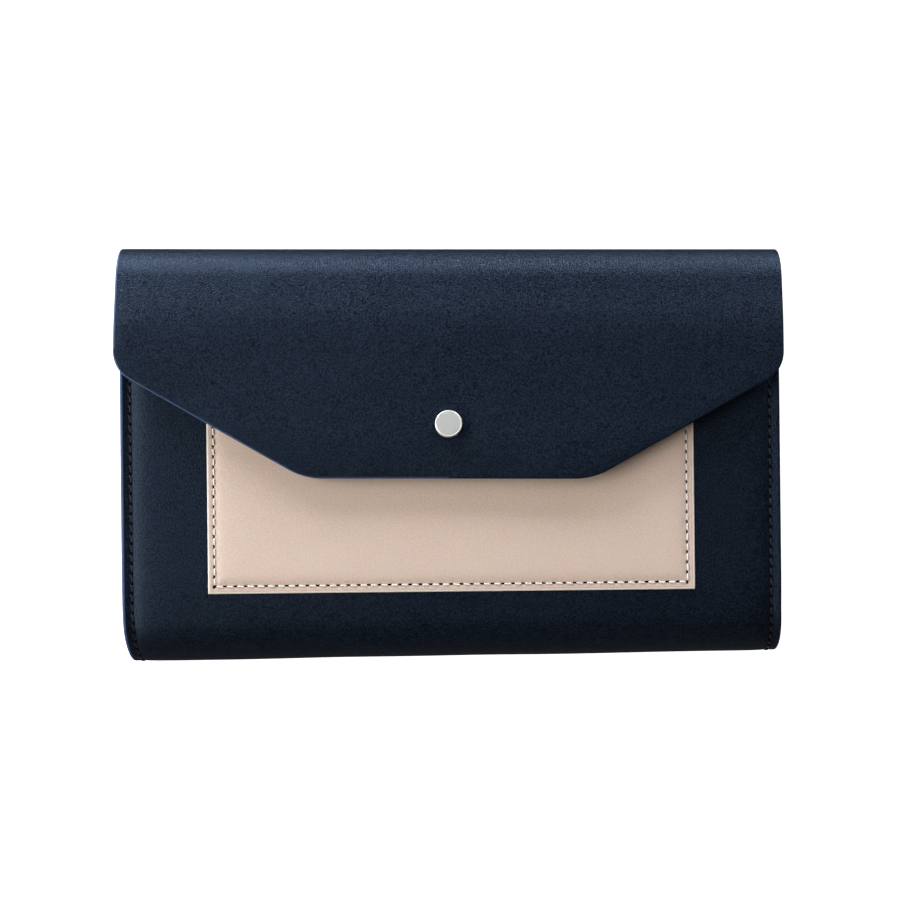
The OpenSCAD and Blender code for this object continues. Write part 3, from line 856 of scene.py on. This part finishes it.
def snap():
    z = flap_run.at(flap_s(SNAP_Y))[1]
    place = Matrix.Translation(Vector((0, SNAP_Y, z))) @ Matrix.Rotation(math.radians(-SNAP_TILT), 4, "X")
    face_r = CAP_R - CAP_FACE
    rim = [(face_r, CAP_TOP - 0.10), (face_r + 0.05, CAP_TOP - 0.02), (face_r + 0.16, CAP_TOP)]
    for a in [math.pi / 2 * k / 6 for k in range(7)]:
        rim.append((CAP_R - CAP_ROUND * (1 - math.sin(a)), CAP_TOP - CAP_ROUND * (1 - math.cos(a))))
    rim += [(CAP_R, CAP_LOW + 0.2), (CAP_R - 0.06, CAP_LOW + 0.06), (CAP_R - 0.2, CAP_LOW)]
    rim += [(STEM_R, CAP_LOW), (STEM_R, STEM_END)]
    # The rim's bright ring is a painted glint in its colour.
    cap = lathe("snap_cap_rim", rim, place, bright_nickel_painted_glint)
    face = [(face_r + 0.02, CAP_TOP - 0.4), (face_r + 0.02, CAP_TOP - 0.11), (face_r - 0.05, CAP_TOP - 0.085)]
    face += [(face_r * k / 6, CAP_TOP - 0.075) for k in range(5, 0, -1)]
    disc = lathe("snap_cap_face", face, place, nickel)
    for piece in (cap, disc):
        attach(piece, "flap")
    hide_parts("snap_cap")
    for node in ("snap_socket", "snap_spring", "snap_stud", "snap_rivet"):
        dress(node, bright_nickel_painted_glint)


# ---- Inside ----
SLOT_FOOT = low("card_slot_1", Y)
SLOT_MOUTH = 40.0
SLOT_STEP = 12.0
SLOTS = 4
SLOT_STITCHES = 16
MOUTH_DIP = 1.2
MARGIN = (1.6, 0.25)  # where a mouth's edge is creased, and how wide the crease is


def card_slots():
    for k in range(SLOTS):
        mouth = SLOT_MOUTH - k * SLOT_STEP
        length = mouth - SLOT_FOOT

        def point(t, x, lift):
            dip = MOUTH_DIP * math.sin(abs(x) / SLOT_HALF * math.pi) ** 2
            return Vector((x, SLOT_FOOT + t * (length - dip), WALL + k * SLOT + lift))

        def top(t, x):
            edge = (1 - t) * length
            crease = 0.10 * bell(edge - MARGIN[0], MARGIN[1])
            return SLOT - 0.02 + rounded(edge, 0.2) - crease - 0.16 * bell(x, 0.5)

        rows = [1 - d / length for d in reversed(from_edge(length, 0.2, 0.35, 4.0))]
        xs = sorted(set(across(SLOT_HALF, middle=2.0) + [0.25 * i for i in range(-5, 6)]))
        piece = sheet_piece(f"card_slot_leather_{k + 1}", rows, lambda t: xs, point, top,
                            lambda t, x: 0.0, [blush, blush_edge])
        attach(piece, "back")
        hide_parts(f"card_slot_{k + 1}")
    places = [(Vector((0, SLOT_FOOT + 2 + i * STITCH_PITCH, WALL + SLOTS * SLOT - 0.12)), Vector((0, 1, 0)),
               Vector((0, 0, 1)), INNER_SEAM) for i in range(SLOT_STITCHES)]
    seam("card_slot", places, "back", blush_thread, "card_slot_stitches")


SLEEVE_FROM = SPLIT_S + 32
SLEEVE_TO = SPLIT_S + 96


def bill_sleeve():
    half = high("bill_sleeve", X)

    def lift(s, x):
        edge = SLEEVE_TO - s
        return -WALL - SLOT - rounded(edge, 0.2) + 0.1 * bell(edge - MARGIN[0], MARGIN[1])

    rows = to_edge(SLEEVE_TO, SLEEVE_TO - SLEEVE_FROM, 0.2, 0.4, 3.0)
    piece = sheet_piece("bill_sleeve_leather", rows, lambda s: across(half, middle=2.0), front_run.place,
                        lambda s, x: -WALL, lift, [blush, blush_edge])
    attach(piece, "front")
    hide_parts("bill_sleeve")


POCKET_FROM = low("coin_pocket_back", Y)
POCKET_TO = high("coin_pocket_back", Y)
POCKET_HALF = high("coin_pocket_back", X)
POCKET_LOW = low("coin_pocket_back", Z)
POCKET_HIGH = high("coin_pocket_front", Z)
POCKET_WALL = 0.7
POCKET_MID = (POCKET_LOW + POCKET_HIGH) / 2
MOUTH_SEAM_Y = POCKET_TO - 3
MOUTH_SEAM_X = -78.0  # where the seam along the mouth begins
MOUTH_STITCHES = 53


def pocket_inset(y, x):
    return min(POCKET_TO - y, POCKET_HALF - abs(x))


def coin_pocket():
    rows = to_edge(POCKET_TO, POCKET_TO - POCKET_FROM, 0.2, 0.3, 4.0)
    for word, sign, outer in (("back", -1, POCKET_LOW), ("front", 1, POCKET_HIGH)):
        def top(y, x):
            groove = -0.12 * bell(y - MOUTH_SEAM_Y, 0.35)
            return outer + sign * (rounded(pocket_inset(y, x), 0.3) + groove)

        piece = sheet_piece(f"coin_pocket_{word}_leather", rows, lambda y: across(POCKET_HALF, middle=1.5),
                            lambda y, x, z: Vector((x, y, z)), top, lambda y, x: outer - sign * POCKET_WALL,
                            [blush, blush_edge], pocket_inset)
        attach(piece, "coin_pocket")
        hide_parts(f"coin_pocket_{word}")
    places = []
    for sign, outer in ((1, POCKET_HIGH), (-1, POCKET_LOW)):
        places += [(Vector((MOUTH_SEAM_X + k * STITCH_PITCH, MOUTH_SEAM_Y, outer - 0.1 * sign)),
                    Vector((1, 0, 0)), Vector((0, 0, sign)), INNER_SEAM) for k in range(MOUTH_STITCHES)]
    seam("coin_pocket", places, "coin_pocket", blush_thread, "coin_pocket_stitches")
    dress("coin_pocket_lining", navy_cloth)
    dress("zip_tape_back", tape_cloth)
    dress("zip_tape_front", tape_cloth)


# ---- Zip ----
TOOTH_PITCH = 2.5
TEETH_REACH = 74.0
TEETH_Y = low("zip_teeth_back", Y)
TOOTH_WIDE = 1.05
TOOTH_TALL = 1.5
TOOTH_ROOT = 1.4  # how far it stands out of the zip's middle
TOOTH_NOSE = 0.5  # and how far it reaches past it


def block(verts, faces, low_corner, high_corner, chamfer):
    """Adds a box whose every edge is chamfered."""
    (x0, y0, z0), (x1, y1, z1) = low_corner, high_corner
    c = min([chamfer] + [(b - a) * 0.45 for a, b in zip(low_corner, high_corner)])
    faces += ring_faces(len(verts), 4, 8)
    for z, inset in ((z0, c), (z0 + c, 0), (z1 - c, 0), (z1, c)):
        left, right, near, far = x0 + inset, x1 - inset, y0 + inset, y1 - inset
        verts += [Vector((x, y, z)) for x, y in (
            (left + c, near), (right - c, near), (right, near + c), (right, far - c),
            (right - c, far), (left + c, far), (left, far - c), (left, near + c))]


def zip_teeth():
    for node, side, phase in (("zip_teeth_back", -1, 0.0), ("zip_teeth_front", 1, TOOTH_PITCH / 2)):
        verts, faces = [], []
        x = phase - TEETH_REACH
        ends = sorted((POCKET_MID + side * TOOTH_ROOT, POCKET_MID - side * TOOTH_NOSE))
        while x <= TEETH_REACH:
            block(verts, faces, (x - TOOTH_WIDE / 2, TEETH_Y, ends[0]),
                  (x + TOOTH_WIDE / 2, TEETH_Y + TOOTH_TALL, ends[1]), 0.22)
            x += TOOTH_PITCH
        piece = new_piece(node + "_metal", verts, faces, [zip_nickel], sharp=25)
        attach(piece, "coin_pocket")
        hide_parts(node)
    dress("zip_stops", zip_nickel)


def prism(name, shape, y0, y1, chamfer=0.12):
    """A flat plate from an outline in x and z, with chamfered rims, between two y levels."""
    count = len(shape)
    centre = Vector((sum(p[0] for p in shape) / count, sum(p[1] for p in shape) / count))
    verts = []
    for y, inset in ((y0, chamfer), (y0 + chamfer, 0), (y1 - chamfer, 0), (y1, chamfer)):
        for p in shape:
            off = Vector(p) - centre
            q = centre + off * (1 - inset / max(off.length, chamfer))
            verts.append(Vector((q.x, y, q.y)))
    piece = new_piece(name, verts, ring_faces(0, 4, count), [zip_nickel], sharp=30)
    turn_outwards(piece)
    return piece


def squared(value, power):
    """A sine or cosine bent so that the ellipse drawn with it is fuller at its corners."""
    return math.copysign(abs(value) ** power, value)


SLIDER_X = 66.0
SLIDER_L = 9.0
PLATE_Y = TEETH_Y + TOOTH_TALL + 0.3
PLATE = 0.9
PIVOT_Y = PLATE_Y + PLATE + 1.1
BRIDGE_HALF = 0.55
BRIDGE_REACH = 2.55
BRIDGE_TALL = 2.2


def zip_slider():
    half = SLIDER_L / 2
    shape = []
    for k in range(32):
        c, s = on_circle(1, k / 32)
        reach = 3.0 - 0.45 * c if c < 0 else 3.0
        shape.append((SLIDER_X + half * squared(c, 0.45), POCKET_MID + reach * squared(s, 0.6)))
    plate = prism("zip_slider_plate", shape, PLATE_Y, PLATE_Y + PLATE)
    verts, faces = [], []
    for z0, z1 in ((2.0, 3.0), (-3.0, -2.0)):
        block(verts, faces, (SLIDER_X - half + 0.6, TEETH_Y + 0.3, POCKET_MID + z0),
              (SLIDER_X + half - 0.6, PLATE_Y + 0.3, POCKET_MID + z1), 0.15)
    shoe_low = low("zip_slider", Y)
    block(verts, faces, (SLIDER_X - half, shoe_low, POCKET_MID - BRIDGE_HALF),
          (SLIDER_X + half, shoe_low + PLATE, POCKET_MID + BRIDGE_HALF), 0.15)
    steps = 14
    faces += ring_faces(len(verts), steps + 1, 4)
    for i in range(steps + 1):
        a = math.pi * i / steps
        x = SLIDER_X - BRIDGE_REACH * math.cos(a)
        y = PLATE_Y + PLATE - 0.05 + BRIDGE_TALL * math.sin(a) ** 0.6
        normal = Vector((-math.cos(a), math.sin(a), 0))
        for out, side in ((0.33, -1), (0.33, 1), (-0.33, 1), (-0.33, -1)):
            verts.append(Vector((x, y, POCKET_MID + side * BRIDGE_HALF)) + normal * out)
    body = new_piece("zip_slider_frame", verts, faces, [zip_nickel], sharp=35)
    for piece in (plate, body):
        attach(piece, "zip_slider")
    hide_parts("zip_slider")


def zip_pull():
    """A pull tab: two arms round the slider's bridge, a crossbar under it and a rounded, pierced blade."""
    thick = 0.4
    verts, faces = [], []
    for z0, z1 in ((0.95, 1.9), (-1.9, -0.95)):
        block(verts, faces, (SLIDER_X - 4.6, PIVOT_Y - thick, POCKET_MID + z0),
              (SLIDER_X + 0.35, PIVOT_Y + thick, POCKET_MID + z1), 0.18)
    faces += ring_faces(len(verts), 2, 16)
    for z in (-1.2, 1.2):
        for k in range(16):
            x, y = on_circle(0.42, k / 16)
            verts.append(Vector((SLIDER_X + x, PIVOT_Y + y, POCKET_MID + z)))
    arms = new_piece("zip_pull_arms", verts, faces, [zip_nickel], sharp=35)
    middle, reach, count = SLIDER_X - 8.6, 4.4, 40
    ring, hole = [], []
    for k in range(count):
        c, s = on_circle(1, k / count)
        ring.append((middle + reach * squared(c, 0.7), POCKET_MID + 1.9 * squared(s, 0.55)))
        hole.append((middle - 2.4 + c, POCKET_MID + 0.9 * s))
    verts = [Vector((x, y, z)) for y in (PIVOT_Y - thick, PIVOT_Y + thick) for x, z in ring + hole]
    faces = []
    for k in range(count):
        n = (k + 1) % count
        low_ring, low_hole, high_ring, high_hole = [(i * count + k, i * count + n) for i in range(4)]
        faces += [[*low_ring, *low_hole[::-1]], [*high_ring[::-1], *high_hole]]
        faces += [[*low_ring[::-1], *high_ring], [*low_hole, *high_hole[::-1]]]
    blade = new_piece("zip_pull_blade", verts, faces, [zip_nickel], sharp=35)
    for piece in (arms, blade):
        turn_outwards(piece)
        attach(piece, "zip_pull")
    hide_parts("zip_pull")


# ---- Gussets ----
GUSSET = 0.7
GUSSET_EDGE = 98.0
GUSSET_SEAM = 94.0
GUSSET_APEX = 82.6
GUSSET_CLIMB = 0.2


def gusset_line(z_low, climb_low, z_high, climb_high):
    """Middle line of a gusset in cross-section, from its lower margin round the fold to its upper one."""
    half = GUSSET / 2
    z_low, z_high = z_low + half, z_high - half
    a = [(GUSSET_EDGE, z_low), (GUSSET_SEAM + 1, z_low), (GUSSET_SEAM, z_low + 0.15),
         (GUSSET_SEAM - 0.6, z_low + climb_low)]
    b = [(GUSSET_SEAM - 0.6, z_high - climb_high), (GUSSET_SEAM, z_high - 0.15),
         (GUSSET_SEAM + 1, z_high), (GUSSET_EDGE, z_high)]
    middle = (z_low + climb_low + z_high - climb_high) / 2
    spread = (z_high - climb_high - z_low - climb_low) / 2
    fold = []
    for k in range(9):
        t = -1 + k / 4
        fold.append((GUSSET_APEX + 9.5 * abs(t) ** 1.6 + 0.4, middle + spread * t * abs(t) ** 0.35))
    return a + fold + b


def gusset(name, side, stations, end_z, node):
    """Leather folded in a V along its middle; stations are (y, low z, climb, high z, climb)."""
    verts = []
    for y, *levels in stations:
        line = [Vector(p) for p in gusset_line(*levels)]
        last = len(line) - 1
        inner, outer = [], []
        for i, p in enumerate(line):
            along = (line[min(i + 1, last)] - line[max(i - 1, 0)]).normalized()
            normal = Vector((-along.y, along.x)) * GUSSET / 2
            inner.append(p + normal)
            outer.append(p - normal)
        verts += [Vector((side * p.x, y, p.y)) for p in inner + outer[::-1]]
    faces = ring_faces(0, len(stations), len(verts) // len(stations))
    piece = new_piece(name, verts, faces, [navy], sharp=60)
    turn_outwards(piece)
    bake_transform(piece)
    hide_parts(node)


def gussets():
    back = [(y, WALL, SLOTS * SLOT + GUSSET_CLIMB, POCKET_LOW, GUSSET_CLIMB)
            for y in spaced(POCKET_FROM, POCKET_TO, 3)]
    front = []
    for s in spaced(SPLIT_S + 16, front_run.length - 8, 3):
        p = front_run.place(s, 0, -WALL)
        front.append((p.y, POCKET_HIGH, GUSSET_CLIMB, p.z, SLOT + GUSSET_CLIMB))
    top_z = front_run.place(SPLIT_S + 60, 0, -WALL).z
    for side, word in ((-1, "left"), (1, "right")):
        gusset(f"back_gusset_{word}_leather", side, back,
               POCKET_LOW - 0.5, f"back_gusset_{word}")
        gusset(f"front_gusset_{word}_leather", side, front,
               top_z, f"front_gusset_{word}")


# ---- Stage ----
FLOOR_GLOW = 0.95  # the floor shines by itself, so it stays white under the wallet's shadow
STAGE_HALF = 3000.0
CAMERA_HEIGHT = 583.0
CAMERA_X = 0.4
CAMERA_Y = 0.56
SOFTBOX_AWAY = 1.3  # metres
COOL = (0.94, 1.0, 1.10)
WARM = (1.03, 1.0, 0.96)
SOFTBOXES = (  # name, azimuth and elevation in degrees, size in metres, watts and colour
    ("spine_right_softbox", 60, 8, 0.7, 14.9, COOL),
    ("spine_left_softbox", 120, 8, 0.7, 28.6, COOL),
    ("left_softbox", 180, 30, 1.2, 21.0, WARM),
    ("high_right_softbox", 45, 45, 0.7, 1.5, WARM))


def softbox(name, azimuth, elevation, size, power, color):
    """A square softbox that faces the wallet."""
    data = bpy.data.lights.new(name, "AREA")
    data.color = color
    data.size = size
    data.energy = power
    around, up = math.radians(azimuth), math.radians(elevation)
    towards = Vector((math.cos(up) * math.cos(around), math.cos(up) * math.sin(around), math.sin(up)))
    lamp = bpy.data.objects.new(name, data)
    lamp.location = towards * SOFTBOX_AWAY
    lamp.rotation_euler = (-towards).to_track_quat("-Z", "Y").to_euler()
    lamp.visible_camera = False
    bpy.context.scene.collection.objects.link(lamp)


def screen(name, verts, faces, glow):
    """A white, softly mottled surface of the studio that shines by itself."""
    g = Graph(name + "_white")
    tone = g.mix(g.noise(90, detail=2), (0.93, 0.93, 0.93), (0.96, 0.96, 0.96))
    white = g.finish(tone, 0.9, Specular_IOR_Level=0.1, Emission_Color=(1, 1, 1, 1), Emission_Strength=glow)
    piece = new_piece(name, verts, faces, [white])
    return piece


def stage():
    half = STAGE_HALF
    corners = ((-half, -half), (half, -half), (half, half), (-half, half))
    floor = screen("floor", [Vector((x, y, -0.3)) for x, y in corners], [[0, 1, 2, 3]], FLOOR_GLOW)
    floor.visible_glossy = False
    # A round wall without its caps, so the floor has no dark horizon.
    ring = [Vector((*on_circle(half, k / 48), z)) for z in (-1, 2000) for k in range(48)]
    wall = screen("backdrop", ring, ring_faces(0, 2, 48)[:-2], 1.0)
    wall.visible_glossy = wall.visible_diffuse = wall.visible_shadow = False
    camera_data = bpy.data.cameras.new("camera")
    camera_data.lens = 75
    camera_data.sensor_width = 36
    camera = bpy.data.objects.new("camera", camera_data)
    camera.location = (CAMERA_X * MM, CAMERA_Y * MM, CAMERA_HEIGHT * MM)
    bpy.context.scene.collection.objects.link(camera)
    bpy.context.scene.camera = camera
    for lamp in SOFTBOXES:
        softbox(*lamp)
    world = bpy.data.worlds.new("studio")
    world.use_nodes = True
    world.node_tree.nodes["Background"].inputs["Color"].default_value = (1.0, 0.88, 0.76, 1)
    world.node_tree.nodes["Background"].inputs["Strength"].default_value = 0.064
    bpy.context.scene.world = world
    bpy.context.scene.view_settings.view_transform = "Standard"


stage()
back_wrap()
front_wrap()
flap_wrap()
side_seams()
patch_pocket()
snap()
card_slots()
bill_sleeve()
coin_pocket()
zip_teeth()
zip_slider()
zip_pull()
gussets()
